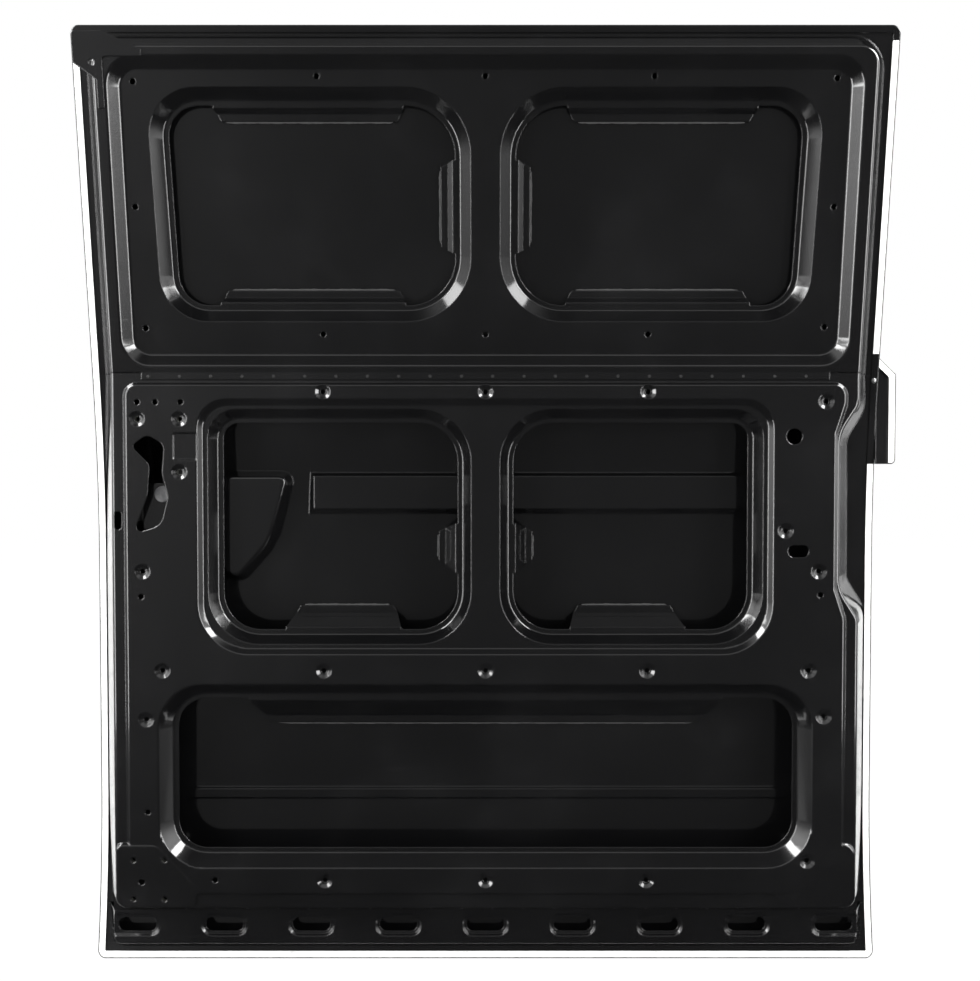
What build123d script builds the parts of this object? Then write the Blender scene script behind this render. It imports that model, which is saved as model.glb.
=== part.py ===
"""Sliding side door of a large panel van: the bare pressed-steel shell, with its inner side open to view.

Millimetres, +Z up, +X towards the rear edge of the door, +Y towards the street.
The pieces are drawn from the door's own datum: middle of the width, bottom edge, outermost skin line.
At the end they are moved so that the lower arm seat lies at the origin.
"""

import math
import os

from build123d import *

# Overall form
DOOR_WIDTH = 1340.0
DOOR_HEIGHT = 1562.0
DOOR_CORNER = 14.0
BELT_HEIGHT = 1006.0  # bend line between the upright lower half and the leaning upper half
UPPER_LEAN = 9.2  # degrees by which the upper half leans in
CROWN_LOW = 300.0  # below this height the skin curves in towards the sill
CROWN_HIGH = 690.0  # above this height the skin curves in towards the belt
BOTTOM_TUCK = 27.0

# Sheets, hem and seams
SKIN_SHEET = 1.5
PANEL_SHEET = 1.5
PLATE_SHEET = 2.0
HEM_RETURN = 12.0
HEM_CLEARANCE = 0.2
SEAM_GAP = 0.3
SEALER_WIDTH = 10.0  # seam sealer brushed over the hem
SEALER_RISE = 1.2
SEALER_EDGE = 2.0  # bare hem left outside the sealer
SEALER_STOP = 24.0  # where the sealer ends below the top edge
BELT_LAP = 12.0
SILL_LAP = 14.0

# Pressing depths, measured from the skin line of the lower half
FACE_DEPTH = 85.0  # main face of the lower panel
BAND_DROP = 5.0  # seal band below the main face
PAD_RISE = 1.0  # lower arm pad above the main face
REAR_PAD_DROP = 1.5  # rear corner pad below the main face
SILL_DEPTH = 50.5  # face of the sill channel
PAN_DROP = 9.0  # pan that holds the two middle openings
MIDDLE_DRAW = 18.0  # drawn wall of a middle opening
LOWER_DRAW = 24.0  # drawn wall of the lower opening
RECESS_DROP = 17.0  # window recess below the upper ridge
UPPER_DRAW = 22.0  # drawn wall of an upper opening
MASTIC_BED = 4.0  # mastic between a glue flange and the skin
FLANGE_LIP = 9.0  # flat lip round every opening

# Draft angles in degrees
RIM_DRAFT = 25.0
STEP_DRAFT = 45.0
WALL_DRAFT = 38.0
SILL_DRAFT = 30.0

# Bend radii on the inner side of the sheet
RIM_BEND = 6.0
STEP_BEND = 4.0
WALL_BEND = 6.0
FOOT_BEND = 4.0

# Lower panel outlines
RIM_INSET = 48.0  # rim of the panel inside the door edge
RIM_BOTTOM = 107.0
RIM_CORNER = 18.0
BAND_WIDTH = 25.0
HALF_WIDTH = DOOR_WIDTH / 2
RIM_X = HALF_WIDTH - RIM_INSET
FACE_X = RIM_X - BAND_WIDTH
FACE_BOTTOM = 134.0
FACE_TOP = 985.0
FACE_CORNER = 95.0
FACE_TOP_CORNER = 18.0
PAD_WIDTH = 133.0
PAD_HEIGHT = 108.0
PAD_SHORT = 41.0  # lower end of the front pad's slanted side
PAD_NARROW = 70.0  # upper end of the front pad's slanted side
NOTCH_DEPTH = 32.0  # relief in the rear rim for the middle roller bracket
NOTCH_BOTTOM = 645.0
NOTCH_TOP = 905.0
NOTCH_RAMP = 50.0
NOTCH_CORNER = 24.0
NOTCH_FOOT = 70.0  # inner corners of the relief, wide enough for the rim's draft

PAN_INSET = 117.0  # pan inside the edge of the main face
PAN_HALF_WIDTH = FACE_X - PAN_INSET
PAN_BOTTOM = 536.0
PAN_TOP = 962.0
PAN_TOP_CORNER = 50.0
PAN_BOTTOM_CORNER = 85.0
PAN_LEDGE = 7.0
POST_WIDTH = 48.0
POST_FOOT_CORNER = 88.0

LOWER_INSET = 50.0  # lower opening inside the edge of the main face
LOWER_HALF_WIDTH = FACE_X - LOWER_INSET
LOWER_BOTTOM = 176.0
LOWER_TOP = 486.0
LOWER_CORNER = 76.0

# Upper panel outlines, heights measured up the lean from the belt
UPPER_TOP_INSET = 41.0  # top of the ridge below the door edge
UPPER_TOP = DOOR_HEIGHT - BELT_HEIGHT - UPPER_TOP_INSET
UPPER_CORNER = 30.0
RECESS_INSET = 20.0
RECESS_BOTTOM = 11.0
RECESS_HEAD = 15.0
RECESS_TOP = UPPER_TOP - RECESS_HEAD
RECESS_CORNER = 46.0
WINDOW_SIDE = 58.0  # flat between the recess side and an opening
WINDOW_OUTER = RIM_X - RECESS_INSET - WINDOW_SIDE
WINDOW_TAPER = 9.0
WINDOW_BOTTOM = 83.0
WINDOW_HEAD = 45.0  # flat between the recess top and an opening
WINDOW_TOP = RECESS_TOP - WINDOW_HEAD
WINDOW_MIDDLE = (WINDOW_BOTTOM + WINDOW_TOP) / 2
WINDOW_CORNER = 76.0
WINDOW_POST_CORNER = 105.0

# Glue flanges that step down to the skin
TAB_FOOT = 12.0
TAB_OVERLAP = 4.0
UPPER_TAB_SLOPE = 8.0
UPPER_TAB_ENDS = 105.0  # opening left free beyond each end of the tab
UPPER_TAB_LENGTH = WINDOW_OUTER - POST_WIDTH / 2 - 2 * UPPER_TAB_ENDS
UPPER_TAB_SHIFT = 4.0
UPPER_TAB_CENTRE = (WINDOW_OUTER + POST_WIDTH / 2) / 2 + UPPER_TAB_SHIFT
UPPER_SIDE_TAB_LENGTH = 150.0
MIDDLE_TAB_SLOPE = 18.0
MIDDLE_TAB_ENDS = 142.5
MIDDLE_TAB_LENGTH = PAN_HALF_WIDTH - 2 * MIDDLE_TAB_ENDS
MIDDLE_TAB_CENTRE = PAN_HALF_WIDTH / 2
SIDE_TAB_LENGTH = 84.0
SIDE_TAB_HEIGHT = 712.0
LOWER_TAB_SLOPE = 38.0
LOWER_TAB_ENDS = 147.0
LOWER_TAB_LENGTH = 2 * LOWER_HALF_WIDTH - 2 * LOWER_TAB_ENDS

# Sill channel
SILL_INSET = 36.0
SILL_BOTTOM = 34.0
SILL_TOP = 106.0
SLOT_COUNT = 9
SLOT_MARGIN = 74.0  # first slot from the door edge
SLOT_PITCH = (DOOR_WIDTH - 2 * SLOT_MARGIN) / (SLOT_COUNT - 1)
SLOT_HEIGHT = 66.0
SLOT_LENGTH = 64.0
SLOT_WIDTH = 24.0
SLOT_RIM = 8.0
SLOT_DROP = 4.0

# Skin features
WAIST_GROOVE_HEIGHT = 805.0
WAIST_GROOVE_WIDTH = 76.0
WAIST_GROOVE_DEPTH = 13.0
WAIST_GROOVE_INSET = 70.0
WAIST_GROOVE_REAR = HALF_WIDTH - WAIST_GROOVE_INSET
RUB_GROOVE_HEIGHT = 280.0
RUB_GROOVE_WIDTH = 20.0
RUB_GROOVE_DEPTH = 4.0
RUB_GROOVE_INSET = 80.0
RUB_GROOVE_HALF = HALF_WIDTH - RUB_GROOVE_INSET
GROOVE_DRAFT = 40.0
GROOVE_LEAD = 6.0
CUP_DEPTH = 34.0
CUP_TOP = 842.0
CUP_BOTTOM = 642.0
CUP_INSET = 165.0
CUP_LENGTH = 179.0
CUP_FRONT = CUP_INSET - HALF_WIDTH
CUP_REAR = CUP_FRONT + CUP_LENGTH
CUP_HEEL = 75.0  # height at which the slanted underside starts
CUP_TOE = 78.0  # length of the slanted underside
CUP_RAKE = 34.0  # how far the rear side leans
CUP_HEEL_CORNER = 30.0
CUP_TOE_CORNER = 26.0
CUP_BELLY = 120.0
CUP_REAR_CORNER = 20.0
CUP_FRONT_CORNER = 14.0
CUP_BEND = 5.0
CUP_DRAFT = 18.0
CUP_GAP = 20.0  # between the cup and the waist groove
WAIST_GROOVE_FRONT = CUP_REAR + CUP_GAP

# Rail cover ear on the rear edge
EAR_REACH = 34.0
EAR_BOTTOM = 854.0
EAR_TOP = 1008.0
EAR_SLANT = 33.0
EAR_HEM = 14.0

# Holes
CLIP_HOLE = 8.0
CLIP_DIMPLE = 26.0
CLIP_FLOOR = 14.0
CLIP_DROP = 4.0
PLAIN_HOLE = 9.0
CLIP_END = 57.0  # last clip of a row from the edge of the main face
CLIP_PITCH = (FACE_X - CLIP_END) / 2
BELT_ROW_HEIGHT = 974.0
MIDDLE_ROW_HEIGHT = 509.0
LOWER_ROW_HEIGHT = 155.0
UPPER_LOW_ROW = 62.0
UPPER_ROW_HEAD = 29.0
UPPER_HIGH_ROW = RECESS_TOP - UPPER_ROW_HEAD
# Other holes by their distance in from the edge of the main face or recess, and their height
FRONT_CLIPS = [(29.0, 427.0), (25.0, 675.0)]
REAR_CLIPS = [(31.0, 432.0), (57.0, 188.0), (41.0, 675.0), (97.0, 743.0), (31.0, 958.0)]
FRONT_HOLES = [(23.0, 633.0), (31.0, 271.0), (143.0, 156.0), (19.0, 957.0), (49.0, 957.0), (91.0, 957.0)]
REAR_HOLES = [(39.0, 636.0)]
UPPER_FRONT_HOLES = [(38.0, RECESS_TOP - 37.0), (31.0, WINDOW_MIDDLE - 1.0), (37.0, 72.0)]
UPPER_REAR_HOLES = [(40.0, RECESS_TOP - 32.0), (34.0, WINDOW_MIDDLE - 1.0), (39.0, 74.0)]

# Lower arm seat: four bolts round a locating hole
ARM_INSET = 57.0  # from the rim
ARM_X = ARM_INSET - RIM_X
ARM_Z = 157.0
ARM_BOLT_X = 52.0
ARM_BOLT_Z = 66.0
ARM_HOLE = 9.0
ARM_LOCATOR = 10.0
ARM_LOCATOR_X = 12.0
ARM_LOCATOR_Z = 4.0
ARM_PLATE_MARGIN = 6.0

# Latch area at the front edge
LATCH_BOLT_INSET = 18.0
LATCH_BOLT_SPREAD = 70.0
LATCH_BOLT_FRONT = LATCH_BOLT_INSET - FACE_X
LATCH_BOLT_REAR = LATCH_BOLT_FRONT + LATCH_BOLT_SPREAD
LATCH_BOLT_TOP = 929.0
LATCH_BOLT_LOW = 841.0
LATCH_HOLE = 9.0
LATCH_SLOT_INSET = 9.0  # striker slot in the bend of the front rim
LATCH_SLOT_X = LATCH_SLOT_INSET - RIM_X
LATCH_SLOT_Z = 760.0
LATCH_SLOT_WIDTH = 12.0
LATCH_SLOT_HEIGHT = 30.0
LATCH_PANEL_INSET = 77.0  # shallow recess beside the latch window, open to the pan
LATCH_PANEL_FRONT = LATCH_PANEL_INSET - FACE_X
LATCH_PANEL_BOTTOM = 860.0
LATCH_PANEL_TOP = 907.0
LATCH_PANEL_DROP = 2.5
# Corners of the latch window: distance in from the edge of the main face, height, radius
LATCH_WINDOW_SHAPE = [
    (11.0, 738.0, 8),
    (57.0, 752.0, 26),
    (69.0, 800.0, 16),
    (59.0, 838.0, 40),
    (63.0, 886.0, 16),
    (35.0, 904.0, 16),
    (9.0, 884.0, 7),
    (39.0, 854.0, 20),
    (35.0, 800.0, 40),
]

LATCH_PLATE_DEPTH = 16.0
LATCH_PLATE_BOTTOM = 744.0
LATCH_PLATE_TOP = 822.0
LATCH_PLATE_INSET = 23.0
LATCH_PLATE_WIDTH = 60.0
LATCH_PLATE_FRONT = LATCH_PLATE_INSET - FACE_X
LATCH_PLATE_REAR = LATCH_PLATE_FRONT + LATCH_PLATE_WIDTH
LATCH_PLATE_FOOT = 16.0
LATCH_DISC = 28.0
LATCH_DISC_HEIGHT = 6.0
LATCH_DISC_OFFSET = 34.0
LATCH_DISC_X = LATCH_PLATE_FRONT + LATCH_DISC_OFFSET
LATCH_DISC_Z = 804.0

# Middle roller bracket at the rear edge
BRACKET_BORE = 26.0
BRACKET_INSET = 84.0
BRACKET_X = FACE_X - BRACKET_INSET
BRACKET_Z = 900.0
BRACKET_SLOT_OFFSET = 8.0
BRACKET_SLOT_X = BRACKET_X + BRACKET_SLOT_OFFSET
BRACKET_SLOT_Z = 709.0
BRACKET_SLOT_LENGTH = 34.0
BRACKET_SLOT_WIDTH = 20.0
BRACKET_PLATE_AHEAD = 17.0
BRACKET_PLATE_BEHIND = 49.0
BRACKET_PLATE_CORNER = 10.0
BRACKET_PLATE_FRONT = BRACKET_X - BRACKET_PLATE_AHEAD
BRACKET_PLATE_REAR = BRACKET_X + BRACKET_PLATE_BEHIND
BRACKET_PLATE_BOTTOM = 692.0
BRACKET_PLATE_TOP = 928.0

# Upper arm gusset on the front top corner
GUSSET_REACH = 30.0  # overhang past the rim
GUSSET_RISE = 22.0
GUSSET_DROP = 26.0  # height of the overhanging ear below the top of the ridge
GUSSET_LEG = 90.0
GUSSET_ARM = 62.0
GUSSET_LEAF = 11.0
GUSSET_HOLE = 9.0

# Weld nuts
NUT_ACROSS = 14.0
NUT_HEIGHT = 6.5
NUT_BORE = 8.4

FACE_Y = -FACE_DEPTH
BAND_Y = FACE_Y + BAND_DROP
PAD_Y = FACE_Y - PAD_RISE
SILL_Y = -SILL_DEPTH
PAN_Y = FACE_Y + PAN_DROP
MIDDLE_LIP_Y = PAN_Y + MIDDLE_DRAW
LOWER_LIP_Y = FACE_Y + LOWER_DRAW
RIDGE_Y = BAND_Y - PANEL_SHEET
LEAN = math.radians(UPPER_LEAN)
BELT_RADIUS = (BELT_HEIGHT - CROWN_HIGH) / math.sin(LEAN)
SILL_RADIUS = (CROWN_LOW**2 + BOTTOM_TUCK**2) / (2 * BOTTOM_TUCK)
BELT_Y = -BELT_RADIUS * (1 - math.cos(LEAN))
HEM_SLOT = SKIN_SHEET + PANEL_SHEET + 2 * HEM_CLEARANCE
HEM_STACK = HEM_SLOT + SKIN_SHEET
FLANGE_NEAR = SKIN_SHEET + HEM_CLEARANCE + PANEL_SHEET
FLANGE_FAR = SKIN_SHEET + HEM_CLEARANCE
PANEL_EDGE = SKIN_SHEET + HEM_CLEARANCE
UPPER_SKIN_DEPTH = (BELT_Y - RIDGE_Y) * math.cos(LEAN)
OVER = 60.0  # how far cutting bodies run past what they cut


def tangent(degrees):
    return math.tan(math.radians(degrees))


def sheet_shift(draft):
    """In-plane shift of a drafted wall for each millimetre of sheet between its two sides."""
    return tangent(45 - draft / 2)


def outline_face(points, level, grow=0.0):
    """Flat face at depth `level`, from corners (x, z, radius) listed anticlockwise, seen from inside the van.

    `grow` moves every side outwards; outer corner radii gain what inner corner radii lose.
    """
    count = len(points)
    sides = []
    for i in range(count):
        x0, z0 = points[i][:2]
        x1, z1 = points[(i + 1) % count][:2]
        length = math.hypot(x1 - x0, z1 - z0)
        ux, uz = (x1 - x0) / length, (z1 - z0) / length
        sides.append((x0 + uz * grow, z0 - ux * grow, ux, uz))
    corners = []
    for i in range(count):
        ax, az, aux, auz = sides[i - 1]
        bx, bz, bux, buz = sides[i]
        turn = aux * buz - auz * bux
        run = ((bx - ax) * buz - (bz - az) * bux) / turn
        x, z = ax + aux * run, az + auz * run
        radius = points[i][2] + (grow if turn > 0 else -grow)
        half = abs(math.atan2(turn, aux * bux + auz * buz)) / 2
        back = radius * math.tan(half)
        start = (x - aux * back, z - auz * back)
        end = (x + bux * back, z + buz * back)
        mx, mz = bux - aux, buz - auz
        size = math.hypot(mx, mz)
        dip = radius / math.cos(half) - radius
        middle = (x + mx / size * dip, z + mz / size * dip)
        corners.append((start, middle, end))
    edges = []
    for i in range(count):
        start, middle, end = [Vector(x, level, z) for x, z in corners[i]]
        following = corners[(i + 1) % count][0]
        edges.append(ThreePointArc(start, middle, end))
        edges.append(Line(end, Vector(following[0], level, following[1])))
    return make_face(edges)


def drafted(points, level, reach, draft, grow=0.0, lead=0.0, towards=1):
    """Outline at depth `level`, run along Y by `reach`; a positive draft narrows it on the way."""
    wider = lead * tangent(draft)
    face = outline_face(points, level - towards * lead, grow + wider)
    return extrude(face, amount=reach + lead, dir=(0, towards, 0), taper=draft)


def upright(points, near, far, grow=0.0):
    """Straight prism of an outline between two depths."""
    return extrude(outline_face(points, near, grow), amount=far - near, dir=(0, 1, 0))


def box(x0, x1, y0, y1, z0, z1):
    return Pos((x0 + x1) / 2, (y0 + y1) / 2, (z0 + z1) / 2) * Box(x1 - x0, y1 - y0, z1 - z0)


def rounded(x0, x1, z0, z1, radius):
    return [(x0, z0, radius), (x1, z0, radius), (x1, z1, radius), (x0, z1, radius)]


def mirrored(points):
    return [(-x, z, r) for x, z, r in reversed(points)]


def round_pin(x, z, diameter, near, far):
    return Pos(x, near, z) * Rot(-90, 0, 0) * Cylinder(
        diameter / 2, far - near, align=(Align.CENTER, Align.CENTER, Align.MIN)
    )


def top_face_edges(solid):
    return solid.faces().sort_by(Axis.Y)[0].edges()


def floor_edges(solid):
    return solid.faces().sort_by(Axis.Y)[-1].edges()


def well(points, level, depth, draft, shift, bend):
    """Tool for a drawn recess: one side of the sheet at shift 0, the other at the sheet's thickness."""
    tool = drafted(points, level + shift, depth, draft, grow=sheet_shift(draft) * shift, lead=2.0)
    return fillet(floor_edges(tool), bend + shift)


def boss(points, level, reach, draft, shift, bend):
    """Raised form with its top edge rounded, for one side of the sheet."""
    form = drafted(points, level + shift, reach, -draft, grow=-sheet_shift(draft) * shift)
    return fillet(top_face_edges(form), bend - shift)


def skin_region(inward, reach):
    """Everything between the skin line moved `inward` and the depth `reach`, over the whole door."""
    low = CROWN_LOW + OVER
    sill_r = SILL_RADIUS - inward
    start = Vector(0, -SILL_RADIUS + math.sqrt(sill_r**2 - low**2), CROWN_LOW - low)
    knee = Vector(0, -inward, CROWN_LOW)
    half = math.asin(low / sill_r) / 2
    between = Vector(0, -SILL_RADIUS + sill_r * math.cos(half), CROWN_LOW - sill_r * math.sin(half))
    chest = Vector(0, -inward, CROWN_HIGH)
    belt_r = BELT_RADIUS - inward
    bend = Vector(0, -BELT_RADIUS + belt_r * math.cos(LEAN / 2), CROWN_HIGH + belt_r * math.sin(LEAN / 2))
    belt = Vector(0, -BELT_RADIUS + belt_r * math.cos(LEAN), CROWN_HIGH + belt_r * math.sin(LEAN))
    rise = DOOR_HEIGHT + OVER - BELT_HEIGHT
    top = belt + Vector(0, -math.sin(LEAN), math.cos(LEAN)) * rise
    section = make_face(
        [
            ThreePointArc(start, between, knee),
            Line(knee, chest),
            ThreePointArc(chest, bend, belt),
            Line(belt, top),
            Line(top, Vector(0, reach, top.Z)),
            Line(Vector(0, reach, top.Z), Vector(0, reach, start.Z)),
            Line(Vector(0, reach, start.Z), start),
        ]
    )
    return extrude(section, amount=HALF_WIDTH + OVER, dir=(1, 0, 0), both=True)


DOOR_OUTLINE = rounded(-HALF_WIDTH, HALF_WIDTH, 0, DOOR_HEIGHT, DOOR_CORNER)
INSIDE = -FACE_DEPTH - DOOR_HEIGHT * math.sin(LEAN)


def door_prism(grow):
    return upright(DOOR_OUTLINE, INSIDE, OVER, grow)


# Outer skin with its hem folded back over the inner panels' flanges
def handle_cup(shift):
    """D-shaped cup for the outside handle, pressed in from the street side."""
    points = [
        (CUP_FRONT, CUP_BOTTOM + CUP_HEEL, CUP_HEEL_CORNER),
        (CUP_FRONT + CUP_TOE, CUP_BOTTOM, CUP_TOE_CORNER),
        (CUP_REAR - CUP_RAKE, CUP_BOTTOM + CUP_HEEL, CUP_BELLY),
        (CUP_REAR, CUP_TOP, CUP_REAR_CORNER),
        (CUP_FRONT, CUP_TOP, CUP_FRONT_CORNER),
    ]
    tool = drafted(points, 0, CUP_DEPTH + shift, CUP_DRAFT, grow=shift / math.cos(math.radians(CUP_DRAFT)),
                   lead=10, towards=-1)
    return fillet(top_face_edges(tool), CUP_BEND + shift)


def groove(x0, x1, height, width, depth, shift):
    """Straight swage pressed in from the street side, with all four sides drafted."""
    slope = tangent(GROOVE_DRAFT)
    wider = shift / math.cos(math.radians(GROOVE_DRAFT))
    mouth, floor = GROOVE_LEAD, -depth - shift
    open_out = wider + mouth * slope
    close_in = wider + floor * slope

    def section(low, high):
        return [(low - open_out, mouth), (high + open_out, mouth),
                (high + close_in, floor), (low - close_in, floor)]

    rise = [Vector(x0 - OVER, y, z) for z, y in section(height - width / 2, height + width / 2)]
    run = [Vector(x, y, height - OVER) for x, y in section(x0, x1)]
    along = extrude(make_face(Polyline(rise, close=True)), amount=x1 - x0 + 2 * OVER, dir=(1, 0, 0))
    across = extrude(make_face(Polyline(run, close=True)), amount=2 * OVER, dir=(0, 0, 1))
    return along & across


def waist_groove(shift):
    return groove(WAIST_GROOVE_FRONT, WAIST_GROOVE_REAR, WAIST_GROOVE_HEIGHT, WAIST_GROOVE_WIDTH,
                  WAIST_GROOVE_DEPTH, shift)


def rub_groove(shift):
    return groove(-RUB_GROOVE_HALF, RUB_GROOVE_HALF, RUB_GROOVE_HEIGHT, RUB_GROOVE_WIDTH,
                  RUB_GROOVE_DEPTH, shift)


def skin_form(shift):
    """Space on the inner side of one face of the skin's sheet."""
    return skin_region(shift, INSIDE) - handle_cup(shift) - waist_groove(shift) - rub_groove(shift)


def make_outer_skin():
    sheet = (skin_form(0) - skin_form(SKIN_SHEET)) & door_prism(0)
    border = door_prism(0) - door_prism(-HEM_RETURN)
    hem = (skin_region(0, INSIDE) - skin_region(HEM_STACK, INSIDE - 1)) & border
    slot = (skin_region(SKIN_SHEET, INSIDE) - skin_region(HEM_SLOT, INSIDE - 1)) & door_prism(-SKIN_SHEET)
    return sheet + (hem - slot)


# Lower inner panel
def rim_points(inset=0.0):
    """Rim of the lower panel with the relief in its rear edge; it runs on past the belt."""
    rear = RIM_X - inset
    return [
        (-rear, RIM_BOTTOM + inset, RIM_CORNER),
        (rear, RIM_BOTTOM + inset, RIM_CORNER),
        (rear, NOTCH_BOTTOM - NOTCH_RAMP, NOTCH_CORNER),
        (rear - NOTCH_DEPTH, NOTCH_BOTTOM, NOTCH_FOOT),
        (rear - NOTCH_DEPTH, NOTCH_TOP, NOTCH_FOOT),
        (rear, NOTCH_TOP + NOTCH_RAMP, NOTCH_CORNER),
        (rear, BELT_HEIGHT + OVER, RIM_CORNER),
        (-rear, BELT_HEIGHT + OVER, RIM_CORNER),
    ]


FACE_POINTS = [
    (-FACE_X, FACE_BOTTOM, FACE_CORNER),
    (FACE_X, FACE_BOTTOM, FACE_CORNER),
    (FACE_X, NOTCH_BOTTOM - NOTCH_RAMP, NOTCH_CORNER),
    (FACE_X - NOTCH_DEPTH / 2, NOTCH_BOTTOM, NOTCH_CORNER),
    (FACE_X - NOTCH_DEPTH / 2, NOTCH_TOP, NOTCH_CORNER),
    (FACE_X, NOTCH_TOP + NOTCH_RAMP, NOTCH_CORNER),
    (FACE_X, FACE_TOP, FACE_TOP_CORNER),
    (-FACE_X, FACE_TOP, FACE_TOP_CORNER),
]
PAN_POINTS = [
    (-PAN_HALF_WIDTH, PAN_BOTTOM, PAN_BOTTOM_CORNER),
    (PAN_HALF_WIDTH, PAN_BOTTOM, PAN_BOTTOM_CORNER),
    (PAN_HALF_WIDTH, PAN_TOP, PAN_TOP_CORNER),
    (-PAN_HALF_WIDTH, PAN_TOP, PAN_TOP_CORNER),
]
PAN_STEP = PAN_DROP * tangent(STEP_DRAFT) + PAN_LEDGE
MIDDLE_POINTS = [
    (POST_WIDTH / 2, PAN_BOTTOM + PAN_STEP, POST_FOOT_CORNER),
    (PAN_HALF_WIDTH - PAN_STEP, PAN_BOTTOM + PAN_STEP, PAN_BOTTOM_CORNER),
    (PAN_HALF_WIDTH - PAN_STEP, PAN_TOP - PAN_STEP, PAN_TOP_CORNER),
    (POST_WIDTH / 2, PAN_TOP - PAN_STEP, POST_FOOT_CORNER),
]
LOWER_POINTS = rounded(-LOWER_HALF_WIDTH, LOWER_HALF_WIDTH, LOWER_BOTTOM, LOWER_TOP, LOWER_CORNER)


def lip_hole(points, level, draw, draft):
    """Hole inside the flat lip at the foot of a drawn wall."""
    inset = draw * tangent(draft) + FLANGE_LIP
    return upright(points, level - OVER, level + draw + OVER, -inset)


def dimples(places, level, shift):
    """Conical seats pressed round the clip holes."""
    slope = (CLIP_DIMPLE - CLIP_FLOOR) / 2 / CLIP_DROP
    wider = shift * sheet_shift(math.degrees(math.atan(slope)))
    cones = []
    for x, z in places:
        cone = Cone(CLIP_DIMPLE / 2 + wider + slope, CLIP_FLOOR / 2 + wider, CLIP_DROP + 1,
                    align=(Align.CENTER, Align.CENTER, Align.MIN))
        cones.append(Pos(x, level + shift - 1, z) * Rot(-90, 0, 0) * cone)
    return cones


def pins(places, diameter, near, far):
    return [round_pin(x, z, diameter, near, far) for x, z in places]


ROW = [-CLIP_PITCH, 0.0, CLIP_PITCH]
FRONT_FACE_CLIPS = [(inset - FACE_X, z) for inset, z in FRONT_CLIPS]
REAR_FACE_CLIPS = [(FACE_X - inset, z) for inset, z in REAR_CLIPS]
SIDE_CLIPS = FRONT_FACE_CLIPS + REAR_FACE_CLIPS
LOWER_CLIPS = (
    [(x, BELT_ROW_HEIGHT) for x in ROW]
    + [(x, MIDDLE_ROW_HEIGHT) for x in ROW]
    + [(x, LOWER_ROW_HEIGHT) for x in ROW]
    + [(-2 * CLIP_PITCH, MIDDLE_ROW_HEIGHT), (2 * CLIP_PITCH, MIDDLE_ROW_HEIGHT)]
    + SIDE_CLIPS
)
ARM_BOLTS = [(ARM_X + i * ARM_BOLT_X / 2, ARM_Z + j * ARM_BOLT_Z / 2) for i in (-1, 1) for j in (-1, 1)]
ARM_LOCATORS = [(ARM_X - ARM_LOCATOR_X, ARM_Z - ARM_LOCATOR_Z)]
LATCH_BOLTS = [(LATCH_BOLT_FRONT, LATCH_BOLT_TOP), (LATCH_BOLT_REAR, LATCH_BOLT_TOP),
               (LATCH_BOLT_REAR, LATCH_BOLT_LOW)]
FRONT_FACE_HOLES = [(inset - FACE_X, z) for inset, z in FRONT_HOLES]
REAR_FACE_HOLES = [(FACE_X - inset, z) for inset, z in REAR_HOLES]
PLAIN_HOLES = FRONT_FACE_HOLES + REAR_FACE_HOLES
LATCH_WINDOW = [(inset - FACE_X, z, radius) for inset, z, radius in LATCH_WINDOW_SHAPE]


def bracket_slot(near, far):
    half, tall = BRACKET_SLOT_LENGTH / 2, BRACKET_SLOT_WIDTH / 2
    x, z = BRACKET_SLOT_X, BRACKET_SLOT_Z
    points = rounded(x - half, x + half, z - tall, z + tall, tall - 0.5)
    return upright(points, near, far)


def glue_tab(length, drop, slope):
    """Flange that leaves a lip at height 0 and depth 0, steps down by `drop` and ends in a flat foot."""
    u0, u1, u2, u3 = -TAB_OVERLAP, TAB_OVERLAP, TAB_OVERLAP + slope, TAB_OVERLAP + slope + TAB_FOOT
    near = [(0, u0), (0, u1), (drop, u2), (drop, u3)]
    far = [(y + PANEL_SHEET, u) for y, u in reversed(near)]
    profile = make_face(Polyline([Vector(0, y, u) for y, u in near + far], close=True))
    bar = extrude(profile, amount=length / 2, dir=(1, 0, 0), both=True)
    half, end = length / 2, tab_end(length, slope) / 2
    plan = [(-half, u0), (half, u0), (half, u1), (end, u3 + 1), (-end, u3 + 1), (-half, u1)]
    plan_face = make_face(Polyline([Vector(x, -1, u) for x, u in plan], close=True))
    trim = extrude(plan_face, amount=drop + 5, dir=(0, 1, 0))
    return bar & trim


def tab_end(length, slope):
    """Length of a tab's foot between its tapered ends."""
    return length - 2 * (slope + TAB_FOOT) * tangent(30)


def mastic_bar(length, drop, slope):
    """Bed of mastic behind a tab's foot, long enough to be trimmed by the skin."""
    half = tab_end(length, slope) / 2 - TAB_OVERLAP
    u = TAB_OVERLAP + slope
    return box(-half, half, drop + PANEL_SHEET, drop + PANEL_SHEET + 2 * MASTIC_BED, u + 1, u + TAB_FOOT - 1)


DOWN = Rot(0, 180, 0)
REARWARD = Rot(0, 90, 0)
FORWARD = Rot(0, -90, 0)
LOWER_TAB_Y = -SKIN_SHEET - MASTIC_BED - PANEL_SHEET
LOWER_LIP_TOP = LOWER_TOP - LOWER_DRAW * tangent(WALL_DRAFT) - FLANGE_LIP
MIDDLE_INSET = MIDDLE_DRAW * tangent(WALL_DRAFT) + FLANGE_LIP
MIDDLE_LIP_BOTTOM = PAN_BOTTOM + PAN_STEP + MIDDLE_INSET
MIDDLE_LIP_POST = POST_WIDTH / 2 + MIDDLE_INSET


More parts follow.
